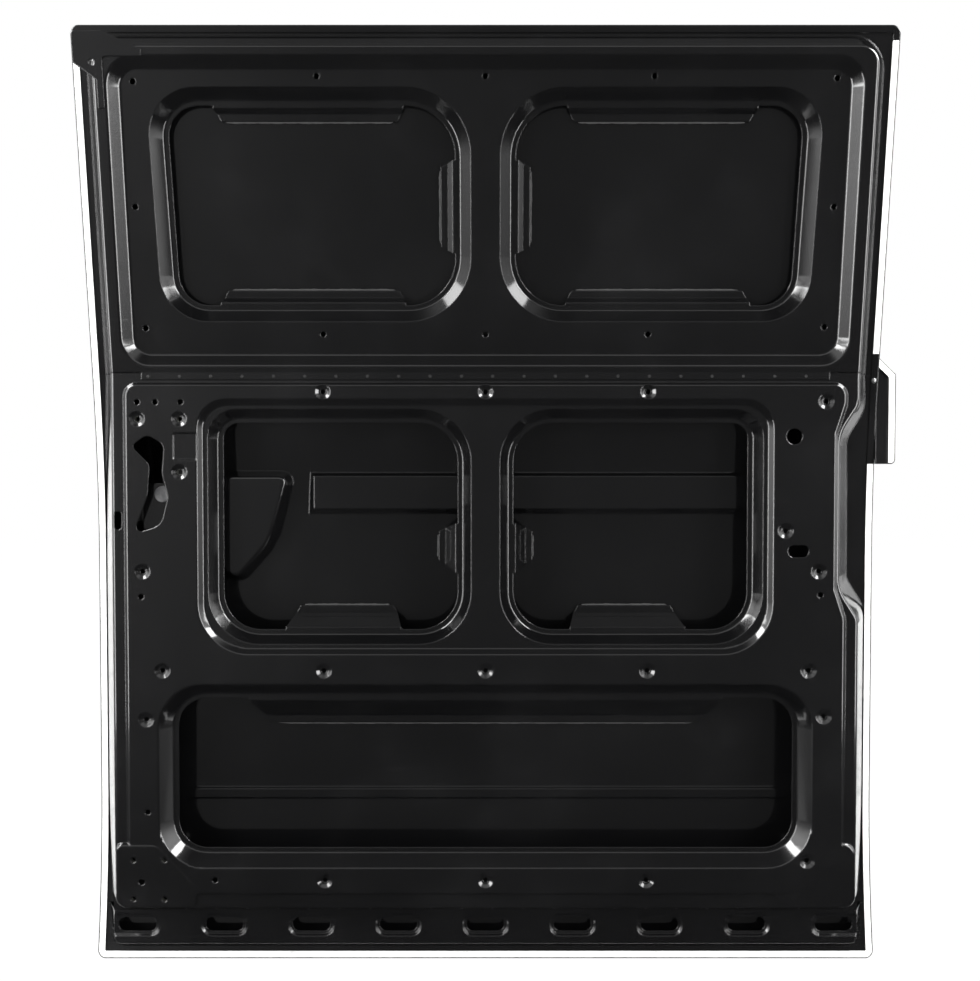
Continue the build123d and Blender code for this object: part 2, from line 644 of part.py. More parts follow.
def middle_tabs(make, side):
    """Bottom and post tabs of one middle opening; side is -1 at the front and 1 at the rear."""
    drop = LOWER_TAB_Y - MIDDLE_LIP_Y
    turn = REARWARD if side > 0 else FORWARD
    bottom = Pos(side * MIDDLE_TAB_CENTRE, MIDDLE_LIP_Y, MIDDLE_LIP_BOTTOM)
    post = Pos(side * MIDDLE_LIP_POST, MIDDLE_LIP_Y, SIDE_TAB_HEIGHT)
    return [bottom * make(MIDDLE_TAB_LENGTH, drop, MIDDLE_TAB_SLOPE),
            post * turn * make(SIDE_TAB_LENGTH, drop, MIDDLE_TAB_SLOPE)]


def lower_tab(make):
    place = Pos(0, LOWER_LIP_Y, LOWER_LIP_TOP) * DOWN
    return place * make(LOWER_TAB_LENGTH, LOWER_TAB_Y - LOWER_LIP_Y, LOWER_TAB_SLOPE)


def lower_tabs():
    return middle_tabs(glue_tab, -1) + middle_tabs(glue_tab, 1) + [lower_tab(glue_tab)]


def skin_bed(bars):
    """Mastic bars trimmed to the inner side of the skin."""
    inner = skin_region(SKIN_SHEET, INSIDE)
    return Compound([solid for bar in bars for solid in (bar & inner).solids()])


def rear_pad_points():
    """Corner pad at the lower rear, its outer sides in line with the panel's rim wall."""
    inset = (BAND_DROP - REAR_PAD_DROP) * tangent(RIM_DRAFT)
    x0, x1 = RIM_X - PAD_WIDTH, RIM_X - inset
    return rounded(x0, x1, RIM_BOTTOM + inset, RIM_BOTTOM + PAD_HEIGHT, RIM_CORNER)


def front_pad_points():
    """Lower arm pad: as the rear one, with a slanted side that clears the lower opening."""
    inset = (BAND_DROP + PAD_RISE) * tangent(RIM_DRAFT)
    x0, x1 = -RIM_X + inset, -RIM_X + PAD_WIDTH
    z0, z1 = RIM_BOTTOM + inset, RIM_BOTTOM + PAD_HEIGHT
    return [
        (x0, z0, RIM_CORNER),
        (x1, z0, RIM_CORNER / 2),
        (x1, RIM_BOTTOM + PAD_SHORT, RIM_CORNER),
        (-RIM_X + PAD_NARROW, z1, RIM_CORNER),
        (x0, z1, RIM_CORNER / 2),
    ]


def latch_panel(shift):
    """Shallow recess beside the latch window, running into the pan."""
    rear = -PAN_HALF_WIDTH + LATCH_PANEL_DROP
    points = rounded(LATCH_PANEL_FRONT, rear, LATCH_PANEL_BOTTOM, LATCH_PANEL_TOP, STEP_BEND + PANEL_SHEET)
    return drafted(points, FACE_Y + shift, LATCH_PANEL_DROP, STEP_DRAFT,
                   grow=sheet_shift(STEP_DRAFT) * shift, lead=1.0)


def latch_slot(near, far):
    half, tall = LATCH_SLOT_WIDTH / 2, LATCH_SLOT_HEIGHT / 2
    x, z = LATCH_SLOT_X, LATCH_SLOT_Z
    points = rounded(x - half, x + half, z - tall, z + tall, half - 0.5)
    return upright(points, near, far)


def lower_form(shift):
    """Space behind one side of the lower panel's sheet."""
    bottom = RIM_BOTTOM - OVER
    body = boss(rim_points(), BAND_Y, FACE_DEPTH, RIM_DRAFT, shift, RIM_BEND)
    face = drafted(FACE_POINTS, FACE_Y + shift, BAND_DROP, -STEP_DRAFT, grow=-sheet_shift(STEP_DRAFT) * shift)
    rear_pad = boss(rear_pad_points(), FACE_Y + REAR_PAD_DROP, BAND_DROP, RIM_DRAFT, shift, STEP_BEND)
    front_pad = boss(front_pad_points(), PAD_Y, BAND_DROP + PAD_RISE, RIM_DRAFT, shift, STEP_BEND)
    pan = well(PAN_POINTS, FACE_Y, PAN_DROP, STEP_DRAFT, shift, STEP_BEND)
    lower = well(LOWER_POINTS, FACE_Y, LOWER_DRAW, WALL_DRAFT, shift, FOOT_BEND)
    rear_middle = well(MIDDLE_POINTS, PAN_Y, MIDDLE_DRAW, WALL_DRAFT, shift, FOOT_BEND)
    front_middle = well(mirrored(MIDDLE_POINTS), PAN_Y, MIDDLE_DRAW, WALL_DRAFT, shift, FOOT_BEND)
    raised = face - pan - lower
    raised = fillet(top_face_edges(raised), STEP_BEND - shift)
    form = body - pan - lower - rear_middle - front_middle
    form = form + raised + (rear_pad - lower) + front_pad
    form = form - dimples(LOWER_CLIPS + LATCH_BOLTS, FACE_Y, shift) - latch_panel(shift)
    flange = skin_region(FLANGE_NEAR - shift, OVER)
    land_y = SILL_Y - PANEL_SHEET
    land_x = RIM_X + (land_y - BAND_Y) * tangent(RIM_DRAFT) - sheet_shift(RIM_DRAFT) * shift - SEAM_GAP
    land = box(-land_x, land_x, land_y + shift, OVER, bottom, RIM_BOTTOM + OVER / 4)
    return form + (flange & box(-HALF_WIDTH, HALF_WIDTH, INSIDE, OVER, bottom, BELT_HEIGHT + OVER)) + land


def make_lower_panel():
    sheet = lower_form(0) - lower_form(PANEL_SHEET)
    sheet = sheet & door_prism(-PANEL_EDGE)
    sheet = sheet & box(-HALF_WIDTH, HALF_WIDTH, INSIDE, OVER, SILL_TOP - SILL_LAP, BELT_HEIGHT - SEAM_GAP)
    sheet = sheet - lip_hole(MIDDLE_POINTS, PAN_Y, MIDDLE_DRAW, WALL_DRAFT)
    sheet = sheet - lip_hole(mirrored(MIDDLE_POINTS), PAN_Y, MIDDLE_DRAW, WALL_DRAFT)
    sheet = sheet - lip_hole(LOWER_POINTS, FACE_Y, LOWER_DRAW, WALL_DRAFT)
    near, far = FACE_Y - 5, FACE_Y + 12
    cuts = pins(LOWER_CLIPS, CLIP_HOLE, near, far)
    cuts += pins(PLAIN_HOLES, PLAIN_HOLE, near, far)
    cuts += pins(ARM_BOLTS, ARM_HOLE, near, far)
    cuts += pins(ARM_LOCATORS, ARM_LOCATOR, near, far)
    cuts += pins(LATCH_BOLTS, LATCH_HOLE, near, far)
    cuts += pins([(BRACKET_X, BRACKET_Z)], BRACKET_BORE, near, far)
    cuts.append(bracket_slot(near, far))
    cuts.append(latch_slot(near, far))
    cuts.append(upright(LATCH_WINDOW, near, far))
    return sheet - cuts + lower_tabs()


# Sill channel
SLOT_PLACES = [(i - (SLOT_COUNT - 1) / 2) * SLOT_PITCH for i in range(SLOT_COUNT)]


def slot_emboss(place):
    """Racetrack round one slot; the first and the last run out through the ends of the channel."""
    half = SLOT_LENGTH / 2 + SLOT_RIM
    tall = SLOT_WIDTH / 2 + SLOT_RIM
    front = -HALF_WIDTH - OVER if place == SLOT_PLACES[0] else place - half
    rear = HALF_WIDTH + OVER if place == SLOT_PLACES[-1] else place + half
    return rounded(front, rear, SLOT_HEIGHT - tall, SLOT_HEIGHT + tall, tall - 1)


def sill_form(shift):
    """Space behind one side of the sill channel's sheet."""
    x = HALF_WIDTH - SILL_INSET
    outline = rounded(-x, x, SILL_BOTTOM, SILL_TOP + OVER, RIM_CORNER / 2)
    body = boss(outline, SILL_Y, SILL_DEPTH, SILL_DRAFT, shift, STEP_BEND)
    for place in SLOT_PLACES:
        body = body - drafted(slot_emboss(place), SILL_Y + shift, SLOT_DROP, STEP_DRAFT,
                              grow=sheet_shift(STEP_DRAFT) * shift, lead=1)
    flange = skin_region(FLANGE_NEAR - shift, OVER)
    return body + (flange & box(-HALF_WIDTH, HALF_WIDTH, INSIDE, OVER, -OVER, SILL_TOP + OVER))


def make_sill_channel():
    sheet = sill_form(0) - sill_form(PANEL_SHEET)
    sheet = sheet & door_prism(-PANEL_EDGE)
    lap = SILL_TOP - SILL_LAP - SEAM_GAP
    tongue = RIM_X - PAD_WIDTH / 4
    keep = box(-HALF_WIDTH, HALF_WIDTH, INSIDE, OVER, -OVER, lap)
    sheet = sheet & (keep + box(-tongue, tongue, INSIDE, SILL_Y + 10, 0, SILL_TOP))
    slots = []
    for place in SLOT_PLACES:
        half = SLOT_LENGTH / 2
        tall = SLOT_WIDTH / 2
        points = rounded(place - half, place + half, SLOT_HEIGHT - tall, SLOT_HEIGHT + tall, tall - 0.5)
        slots.append(upright(points, SILL_Y - 10, SILL_Y + 20))
    return sheet - slots


# Upper inner panel, drawn upright with its ridge at depth 0 and the belt at height 0
def window_points():
    top, bottom = WINDOW_OUTER, WINDOW_OUTER - WINDOW_TAPER
    return [
        (POST_WIDTH / 2, WINDOW_BOTTOM, WINDOW_POST_CORNER),
        (bottom, WINDOW_BOTTOM, WINDOW_CORNER),
        (top, WINDOW_TOP, WINDOW_CORNER),
        (POST_WIDTH / 2, WINDOW_TOP, WINDOW_POST_CORNER),
    ]


WINDOW_POINTS = window_points()
UPPER_RIM = rounded(-RIM_X, RIM_X, -OVER, UPPER_TOP, UPPER_CORNER)
RECESS_X = RIM_X - RECESS_INSET
RECESS_POINTS = rounded(-RECESS_X, RECESS_X, RECESS_BOTTOM, RECESS_TOP, RECESS_CORNER)
UPPER_EDGE_HEIGHT = (DOOR_HEIGHT - BELT_HEIGHT) / math.cos(LEAN)
UPPER_HOLES = (
    [(x, UPPER_LOW_ROW) for x in ROW]
    + [(x, UPPER_HIGH_ROW) for x in ROW]
    + [(inset - RECESS_X, z) for inset, z in UPPER_FRONT_HOLES]
    + [(RECESS_X - inset, z) for inset, z in UPPER_REAR_HOLES]
)


def upper_form(shift):
    """Space behind one side of the upper panel's sheet, drawn upright."""
    deep = UPPER_SKIN_DEPTH + OVER
    body = drafted(UPPER_RIM, shift, deep, -RIM_DRAFT, grow=-sheet_shift(RIM_DRAFT) * shift)
    recess = well(RECESS_POINTS, 0, RECESS_DROP, STEP_DRAFT, shift, WALL_BEND)
    rear = well(WINDOW_POINTS, RECESS_DROP, UPPER_DRAW, WALL_DRAFT, shift, FOOT_BEND)
    front = well(mirrored(WINDOW_POINTS), RECESS_DROP, UPPER_DRAW, WALL_DRAFT, shift, FOOT_BEND)
    body = fillet(top_face_edges(body - recess), RIM_BEND - shift)
    body = body - rear - front
    near = UPPER_SKIN_DEPTH - FLANGE_NEAR + shift
    return body + box(-HALF_WIDTH, HALF_WIDTH, near, deep, -OVER, UPPER_EDGE_HEIGHT + OVER)


def lean_back(shape):
    """Upright upper pieces to their place above the belt."""
    return Pos(0, RIDGE_Y, BELT_HEIGHT) * Rot(UPPER_LEAN, 0, 0) * shape


UPPER_LIP_Y = RECESS_DROP + UPPER_DRAW
UPPER_INSET = UPPER_DRAW * tangent(WALL_DRAFT) + FLANGE_LIP
UPPER_TAB_Y = UPPER_SKIN_DEPTH - SKIN_SHEET - MASTIC_BED - PANEL_SHEET


def upper_tabs(make, side):
    """Top, bottom and post tabs of one upper opening; side is -1 at the front and 1 at the rear."""
    drop = UPPER_TAB_Y - UPPER_LIP_Y
    turn = REARWARD if side > 0 else FORWARD
    bottom = Pos(side * UPPER_TAB_CENTRE, UPPER_LIP_Y, WINDOW_BOTTOM + UPPER_INSET)
    top = Pos(side * UPPER_TAB_CENTRE, UPPER_LIP_Y, WINDOW_TOP - UPPER_INSET) * DOWN
    post = Pos(side * (POST_WIDTH / 2 + UPPER_INSET), UPPER_LIP_Y, WINDOW_MIDDLE) * turn
    return [bottom * make(UPPER_TAB_LENGTH, drop, UPPER_TAB_SLOPE),
            top * make(UPPER_TAB_LENGTH, drop, UPPER_TAB_SLOPE),
            post * make(UPPER_SIDE_TAB_LENGTH, drop, UPPER_TAB_SLOPE)]


def make_upper_panel():
    sheet = upper_form(0) - upper_form(PANEL_SHEET)
    sheet = sheet - lip_hole(WINDOW_POINTS, RECESS_DROP, UPPER_DRAW, WALL_DRAFT)
    sheet = sheet - lip_hole(mirrored(WINDOW_POINTS), RECESS_DROP, UPPER_DRAW, WALL_DRAFT)
    sheet = sheet - pins(UPPER_HOLES, PLAIN_HOLE, 0, RECESS_DROP + 6)
    sheet = sheet + upper_tabs(glue_tab, -1) + upper_tabs(glue_tab, 1)
    sheet = lean_back(sheet) & door_prism(-PANEL_EDGE)
    sheet = sheet & box(-HALF_WIDTH, HALF_WIDTH, INSIDE - OVER, OVER, BELT_HEIGHT, DOOR_HEIGHT)
    lap = FACE_X - BAND_WIDTH
    strip = box(-lap, lap, RIDGE_Y, RIDGE_Y + PANEL_SHEET, BELT_HEIGHT - BELT_LAP, BELT_HEIGHT + 1)
    return sheet + strip


# Rail cover ear on the rear edge
EAR_Y = BELT_Y / 2
EAR_HEAD = EAR_TOP + EAR_SLANT
EAR_SLOPE = EAR_SLANT / EAR_REACH
EAR_CORNER = 8.0
ROOT_CORNER = 0.5


def ear_outline(near, far, inset=0.0):
    """Ear between two depths, its sides moved in by `inset`."""
    root = ROOT_CORNER + inset
    points = [
        (HALF_WIDTH, EAR_BOTTOM, root),
        (HALF_WIDTH + EAR_REACH, EAR_BOTTOM, EAR_CORNER),
        (HALF_WIDTH + EAR_REACH, EAR_TOP, EAR_CORNER),
        (HALF_WIDTH, EAR_HEAD, root),
    ]
    return upright(points, near, far, -inset)


def ear_inside(inset, near, far):
    """Space of the ear inside its hem: the hem runs along the rear and the slanted side only."""
    x0, x1 = HALF_WIDTH + SEAM_GAP, HALF_WIDTH + EAR_REACH - inset
    drop = inset * math.hypot(1, EAR_SLOPE)
    high = EAR_HEAD - drop - EAR_SLOPE * SEAM_GAP
    points = [
        (x0, EAR_BOTTOM - OVER, ROOT_CORNER),
        (x1, EAR_BOTTOM - OVER, ROOT_CORNER),
        (x1, EAR_TOP + EAR_SLOPE * inset - drop, EAR_CORNER / 2),
        (x0, high, ROOT_CORNER),
    ]
    return upright(points, near, far)


def make_rail_cover():
    near = EAR_Y - HEM_STACK
    floor = EAR_Y - SKIN_SHEET - PANEL_SHEET
    return ear_outline(near, EAR_Y) - ear_inside(EAR_HEM, near - 1, floor)


# Seam sealer over the raw edge of the hem: both sides and the bottom, and round the rail cover
def make_hem_sealer():
    skin = skin_region(HEM_STACK, INSIDE) - skin_region(HEM_STACK + SEALER_RISE, INSIDE - 1)
    strip = door_prism(-SEALER_EDGE) - door_prism(-SEALER_EDGE - SEALER_WIDTH)
    strip = strip & box(-HALF_WIDTH, HALF_WIDTH, INSIDE, OVER, 0, DOOR_HEIGHT - SEALER_STOP)
    cover = box(HALF_WIDTH / 2, HALF_WIDTH, INSIDE, OVER, EAR_BOTTOM, EAR_HEAD)
    return skin & (strip - cover)


def make_cover_sealer():
    far = EAR_Y - HEM_STACK
    near = far - SEALER_RISE
    strip = ear_outline(near, far, SEALER_EDGE) - ear_inside(SEALER_EDGE + SEALER_WIDTH, near - 1, far + 1)
    return strip & box(HALF_WIDTH + SEALER_EDGE, HALF_WIDTH + EAR_REACH, INSIDE, OVER, EAR_BOTTOM, EAR_HEAD)


def hex_nut(x, z, near):
    blank = extrude(Plane.XZ * RegularPolygon(NUT_ACROSS / 2, 6, major_radius=False), amount=-NUT_HEIGHT)
    return Pos(x, near, z) * blank - round_pin(x, z, NUT_BORE, near - 1, near + NUT_HEIGHT + 1)


def make_arm_plate():
    near = PAD_Y + PANEL_SHEET
    far = near + PLATE_SHEET
    plate = upright(front_pad_points(), near, far, grow=-ARM_PLATE_MARGIN)
    holes = pins(ARM_BOLTS, ARM_HOLE, near - 1, far + 1) + pins(ARM_LOCATORS, ARM_LOCATOR, near - 1, far + 1)
    return plate - holes


def nut_group(places, near):
    return Compound([hex_nut(x, z, near) for x, z in places])


def make_latch_bracket():
    """Z-shaped plate behind the latch window, its foot on the back of the main face."""
    back = FACE_Y + PANEL_SHEET
    deep = back + LATCH_PLATE_DEPTH
    x0, x1, x2 = LATCH_PLATE_FRONT, LATCH_PLATE_REAR, LATCH_PLATE_REAR + LATCH_PLATE_FOOT
    z0, z1 = LATCH_PLATE_BOTTOM, LATCH_PLATE_TOP
    plate = box(x0, x1, deep, deep + PLATE_SHEET, z0, z1)
    riser = box(x1 - PLATE_SHEET, x1, back, deep + PLATE_SHEET, z0, z1)
    foot = box(x1 - PLATE_SHEET, x2, back, back + PLATE_SHEET, z0, z1)
    return plate + riser + foot


def make_latch_disc():
    deep = FACE_Y + PANEL_SHEET + LATCH_PLATE_DEPTH
    disc = round_pin(LATCH_DISC_X, LATCH_DISC_Z, LATCH_DISC, deep - LATCH_DISC_HEIGHT, deep)
    return chamfer(top_face_edges(disc), 1)


def make_bracket_plate():
    """Stiffening plate behind the seat of the middle roller bracket."""
    back = FACE_Y + PANEL_SHEET
    far = back + PLATE_SHEET
    x0, x1 = BRACKET_PLATE_FRONT, BRACKET_PLATE_REAR
    plate = upright(rounded(x0, x1, BRACKET_PLATE_BOTTOM, BRACKET_PLATE_TOP, BRACKET_PLATE_CORNER), back, far)
    cuts = pins(SIDE_CLIPS, CLIP_DIMPLE + 6, back - 1, far + 1)
    cuts += pins([(BRACKET_X, BRACKET_Z)], BRACKET_BORE, back - 1, far + 1)
    cuts.append(bracket_slot(back - 1, far + 1))
    return plate - cuts


def make_upper_gusset():
    """Flat gusset on the front top corner of the ridge, with an ear that overhangs the corner."""
    band = RIM_X - RIM_BEND
    inner = band - GUSSET_LEAF
    top = UPPER_TOP - RIM_BEND
    out = RIM_X + GUSSET_REACH
    high = UPPER_TOP + GUSSET_RISE
    ear = UPPER_TOP - GUSSET_DROP
    points = [
        (-band, top - GUSSET_LEG, 2),
        (-inner, top - GUSSET_LEG, 2),
        (-inner, top - GUSSET_LEAF, 6),
        (-inner + GUSSET_ARM, top - GUSSET_LEAF, 2),
        (-inner + GUSSET_ARM, top, 2),
        (-inner, high, 6),
        (-out, high, 6),
        (-out, ear, 6),
        (-band, ear - GUSSET_DROP, 4),
    ]
    plate = upright(points, -PLATE_SHEET, 0)
    hole = pins([(-RIM_X, ear)], GUSSET_HOLE, -PLATE_SHEET - 1, 1)
    return lean_back(plate - hole)


PIECES = {
    "outer_skin": make_outer_skin(),
    "lower_inner_panel": make_lower_panel(),
    "upper_inner_panel": make_upper_panel(),
    "sill_channel": make_sill_channel(),
    "rail_cover": make_rail_cover(),
    "hem_sealer": make_hem_sealer(),
    "cover_sealer": make_cover_sealer(),
    "upper_arm_gusset": make_upper_gusset(),
    "lower_arm_plate": make_arm_plate(),
    "lower_arm_nuts": nut_group(ARM_BOLTS, PAD_Y + PANEL_SHEET + PLATE_SHEET),
    "latch_bracket": make_latch_bracket(),
    "latch_disc": make_latch_disc(),
    "latch_nuts": nut_group(LATCH_BOLTS, FACE_Y + CLIP_DROP + PANEL_SHEET),
    "roller_bracket_plate": make_bracket_plate(),
    "upper_front_mastic": skin_bed([lean_back(bar) for bar in upper_tabs(mastic_bar, -1)]),
    "upper_rear_mastic": skin_bed([lean_back(bar) for bar in upper_tabs(mastic_bar, 1)]),
    "middle_front_mastic": skin_bed(middle_tabs(mastic_bar, -1)),
    "middle_rear_mastic": skin_bed(middle_tabs(mastic_bar, 1)),
    "lower_mastic": skin_bed([lower_tab(mastic_bar)]),
}

os.makedirs("parts", exist_ok=True)
SEAT = Pos(-ARM_X, -PAD_Y, -ARM_Z)
for name, piece in PIECES.items():
    export_step(SEAT * piece, f"parts/{name}.step")
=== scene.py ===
"""Looks of a van sliding door shell: black dip coat, white hem sealer whose white also paints the bright
reflection along the hem edges, weld marks, mastic and a plain studio.
"""
import math

import bpy
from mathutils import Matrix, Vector
from mathutils.bvhtree import BVHTree
import numpy as np


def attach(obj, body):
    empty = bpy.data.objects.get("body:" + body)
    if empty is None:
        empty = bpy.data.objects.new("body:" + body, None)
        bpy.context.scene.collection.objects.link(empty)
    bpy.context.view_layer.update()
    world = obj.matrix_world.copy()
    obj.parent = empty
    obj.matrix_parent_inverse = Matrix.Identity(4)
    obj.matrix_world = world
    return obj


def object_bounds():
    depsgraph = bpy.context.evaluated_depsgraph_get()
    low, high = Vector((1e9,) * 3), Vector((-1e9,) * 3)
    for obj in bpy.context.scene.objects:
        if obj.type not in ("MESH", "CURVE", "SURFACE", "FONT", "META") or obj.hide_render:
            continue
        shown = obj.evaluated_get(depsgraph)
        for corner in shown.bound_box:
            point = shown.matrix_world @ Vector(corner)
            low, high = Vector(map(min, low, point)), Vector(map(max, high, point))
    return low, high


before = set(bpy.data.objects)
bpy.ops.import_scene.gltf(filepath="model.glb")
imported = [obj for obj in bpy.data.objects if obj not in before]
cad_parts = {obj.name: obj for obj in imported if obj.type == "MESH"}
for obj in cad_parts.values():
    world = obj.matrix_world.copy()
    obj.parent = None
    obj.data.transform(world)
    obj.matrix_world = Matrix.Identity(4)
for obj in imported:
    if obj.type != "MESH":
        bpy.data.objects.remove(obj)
CAD_BOX = [list(corner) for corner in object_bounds()]

bl_info = {
    "name": "Van sliding door looks",
    "version": (1, 0, 0),
    "blender": (4, 5, 0),
    "location": "View3D > Sidebar > Door",
    "description": "Finishes, small surface details and studio for a van sliding door shell",
    "category": "Object",
}

BODY = "root"
MILLIMETRE = 0.001

# The door's own datum (middle of the width, bottom edge, outermost skin line) in the row frame, in metres.
DATUM = np.array([0.565, 0.086, -0.157])
HALF_WIDTH = 0.670
DOOR_HEIGHT = 1.562
BELT_HEIGHT = 1.006
LEAN = math.radians(9.2)
RIDGE = -0.0815

# Which CAD nodes take which finish.
COATED = (
    "outer_skin",
    "lower_inner_panel",
    "upper_inner_panel",
    "sill_channel",
    "rail_cover",
    "upper_arm_gusset",
    "lower_arm_plate",
    "latch_bracket",
    "roller_bracket_plate",
)
MASTIC = (
    "upper_front_mastic",
    "upper_rear_mastic",
    "middle_front_mastic",
    "middle_rear_mastic",
    "lower_mastic",
)
# The sealer nodes' white is partly real seam sealer and partly a painted reflection along the hem edges.
SEALED = ("hem_sealer", "cover_sealer")
ZINC = ("lower_arm_nuts", "latch_nuts")
PLATED = ("latch_disc",)

# Shading of the CAD nodes: closer doubles are joined, steeper edges stay sharp, and the coat's bends are
# rounded with this many samples.
JOIN_DISTANCE = 1.0e-5
SHARP_ANGLE = math.radians(36.0)
BEVEL_SAMPLES = 6

# Depth inside the van from which lines are sent to the door, and points round a spot on it.
INSIDE = -1.0
SPOT_STEPS = 24

# Spot weld marks: their rows on the laps, rings as shares of the radius, the collar, the lift and the skirt.
WELD_END_INSET = 0.11
BELT_WELD_DROP = 0.006
SILL_WELD_HEIGHT = 0.0995
WELD_SHARES = np.linspace(0.03, 1.0, 9)
COLLAR_PLACE = 0.66
COLLAR_SPREAD = 0.17
WELD_LIFT = 2.0e-5
WELD_SKIRT = 8.0e-5

# Rivet in the hem: place from the rear edge and the datum, rings as shares of the radius, dome and skirt.
RIVET_EDGE_INSET = 0.0075
RIVET_HEIGHT = 0.996
RIVET_SHARES = np.linspace(0.02, 1.0, 10)
RIVET_DOME = 0.0022
RIVET_ROUNDNESS = 0.96
RIVET_SKIRT = 0.0004

# Beads of mastic: points along and round, lengths of the waves, their share of the radius, and the ends.
BEAD_POINTS = 140
BEAD_SIDES = 14
BEAD_WAVES = (0.061, 0.023, 0.011)
BEAD_SWELL = 0.11
BEAD_END_POWER = 24
BEAD_END_LEAST = 0.0025

# Feet of the glue flanges from the datum: depth of the mastic bed, places, and half lengths of the beads.
BED_DEPTH = -0.0042
LOWER_FOOT_HEIGHT = 0.4038
LOWER_RUN_HALF = 0.362
MIDDLE_FOOT_ACROSS = 0.240
MIDDLE_FOOT_HEIGHT = 0.6095
MIDDLE_RUN_HALF = 0.074
MIDDLE_POST_ACROSS = 0.0815
MIDDLE_POST_HEIGHT = 0.712
MIDDLE_POST_RUN_HALF = 0.019

# The same in the leaning half: depth behind the ridge, and rises up the lean from the belt.
UPPER_BED_DEPTH = 0.0512
UPPER_FOOT_ACROSS = 0.288
UPPER_FOOT_RISES = (0.1337, 0.4043)
UPPER_RUN_HALF = 0.137
UPPER_POST_ACROSS = 0.0747
UPPER_POST_RISES = (0.211, 0.327)

# Picture and camera.
PICTURE_WIDTH = 980
SENSOR = 36.0
CAMERA_REACH = 100.0

# Floor: gap under the door, corners, matt grey, and the glow and its share that the camera sees.
FLOOR_GAP = 0.002
FLOOR_CORNERS = ((-9.0, -9.0), (10.0, -9.0), (10.0, 9.0), (-9.0, 9.0))
FLOOR_GREY = 0.82
FLOOR_GLOW = 1.02
FLOOR_GLOW_SHARE = 0.97

# Soft boxes: distance to either side of the door's middle, then depth and height, and size.
TOP_BOX_OUT = 2.2
TOP_BOX_PLACE = (-0.35, 2.4)
TOP_BOX_SIZE = (1.8, 0.9)
STRIP_OUT = 2.15
STRIP_PLACE = (-1.5, 0.75)
STRIP_SIZE = (0.8, 2.0)
FILL_PLACE = (-3.6, 1.3)
FILL_SIZE = (2.5, 2.5)

# Studio walls: each band is where a direction's cosine takes it from nothing to full.
SIDE_BAND = (0.4, 0.95)
SIDE_RISE = 3.0
SIDE_LEAST = 0.35
SIDE_LOSS_IN_FRONT = 0.7
FRONT_BAND = (0.0, 0.8)
LEFT_GLOW = 2.0
CEILING_BAND = (0.35, 0.6)
CEILING_FRONT_BAND = (0.0, 0.4)
CEILING_GLOW = 0.8
ZENITH_BAND = (0.75, 0.95)
ZENITH_LOSS = 0.6
BACK_BAND = (0.72, 0.95)
HORIZON_BAND = (-0.45, 0.05)
LEAST_GLOW = 0.04
LOW_BACK_BAND = (0.2, 0.7)
LOW_BACK_GLOW = 0.25


class Field:
    """One socket of a node tree. Arithmetic on it adds Math nodes; any other node comes from node()."""

    def __init__(self, tree, socket=None):
        self.tree = tree
        self.socket = socket

    def node(self, kind, settings=None, inputs=None, out=0):
        """Adds a node: its settings first, then its inputs by name or number. Returns the chosen output."""
        made = self.tree.nodes.new(kind)
        for key, value in (settings or {}).items():
            setattr(made, key, value)
        for key, value in (inputs or {}).items():
            if isinstance(value, Field):
                self.tree.links.new(value.socket, made.inputs[key])
            else:
                made.inputs[key].default_value = value
        return Field(self.tree, made.outputs[out] if made.outputs else None)

    def math(self, operation, *values):
        """A Math node of this operation on the values."""
        return self.node("ShaderNodeMath", {"operation": operation}, dict(enumerate(values)))

    def __add__(self, other):
        return self.math("ADD", self, other)

    __radd__ = __add__

    def __mul__(self, other):
        return self.math("MULTIPLY", self, other)

    __rmul__ = __mul__

    def __sub__(self, other):
        return self.math("SUBTRACT", self, other)

    def __rsub__(self, other):
        return self.math("SUBTRACT", other, self)

    def step(self, low, high):
        """0 below low, 1 above high, smooth between them."""
        inputs = {"Value": self, "From Min": low, "From Max": high}
        return self.node("ShaderNodeMapRange", {"interpolation_type": "SMOOTHSTEP"}, inputs)

    def between(self, first, second):
        """Mix of two colours by this field. The Mix node's colour sockets go by number: names repeat."""
        inputs = {"Factor": self, 6: first, 7: second}
        return self.node("ShaderNodeMix", {"data_type": "RGBA"}, inputs, out=2)

    def noise(self, scale, detail=2.0, rough=0.5, distortion=0.0):
        """Noise over this vector, scale in waves per metre."""
        inputs = {
            "Vector": self,
            "Scale": scale,
            "Detail": detail,
            "Roughness": rough,
            "Distortion": distortion,
        }
        return self.node("ShaderNodeTexNoise", {}, inputs)

    def bump(self, height, distance):
        """Bump of a height field over this normal; distance is the full height in metres."""
        inputs = {"Height": height, "Distance": distance, "Strength": 1.0}
        if self.socket is not None:
            inputs["Normal"] = self
        return self.node("ShaderNodeBump", {}, inputs)


def grey(level):
    """Opaque grey of this level."""
    return (level, level, level, 1.0)


def opaque(colour):
    """A property's colour with full alpha."""
    return tuple(colour) + (1.0,)


def new_finish(name):
    """An empty material and the bare field that its nodes are made from."""
    material = bpy.data.materials.new(name)
    material.use_nodes = True
    material.node_tree.nodes.clear()
    return material, Field(material.node_tree)


def close_finish(material, bare, inputs):
    """Principled shader with these inputs, joined to the output."""
    shader = bare.node("ShaderNodeBsdfPrincipled", {}, inputs)
    bare.node("ShaderNodeOutputMaterial", {}, {"Surface": shader})
    return material


def object_coordinates(bare):
    """The piece's own coordinates, in metres."""
    return bare.node("ShaderNodeTexCoord", out="Object")


def stretched(bare, factors):
    """Object coordinates stretched by three factors."""
    coords = object_coordinates(bare)
    return coords.node("ShaderNodeMapping", {}, {"Vector": coords, "Scale": factors})


